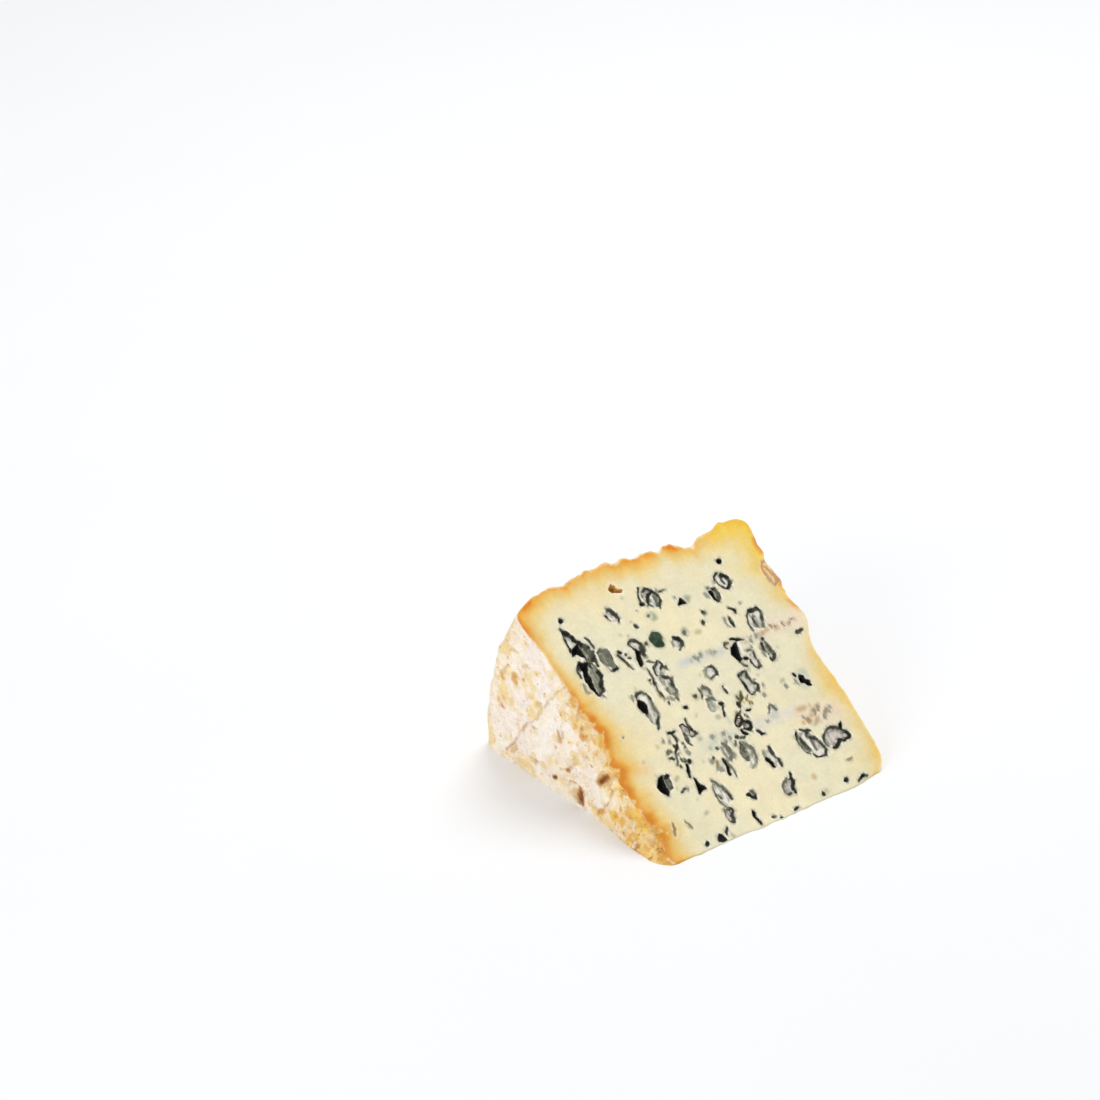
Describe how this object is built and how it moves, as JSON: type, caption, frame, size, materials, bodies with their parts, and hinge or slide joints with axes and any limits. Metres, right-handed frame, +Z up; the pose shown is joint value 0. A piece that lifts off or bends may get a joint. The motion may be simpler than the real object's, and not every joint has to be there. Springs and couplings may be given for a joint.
{
  "type": "wedge of blue cheese",
  "caption": "Wedge of soft blue cheese with blue-green mould hollows and a pale natural rind, lying on one of its two cut faces.",
  "frame": {"origin": "middle of the base of the wedge's box, on the surface that the wedge rests on", "axes": "+Z up, X along the wheel's axis and the nose of the wedge, +Y from the nose to the round heel"},
  "size_m": [0.101, 0.1016, 0.0638],
  "materials": {
    "cheese_paste": "Soft, slightly moist cream-coloured paste with black-green mould rims in its hollows, and a dry off-white rind with tan blotches."
  },
  "bodies": {
    "root": {"cheese_wedge": "cheese_paste"}
  },
  "joints": []
}
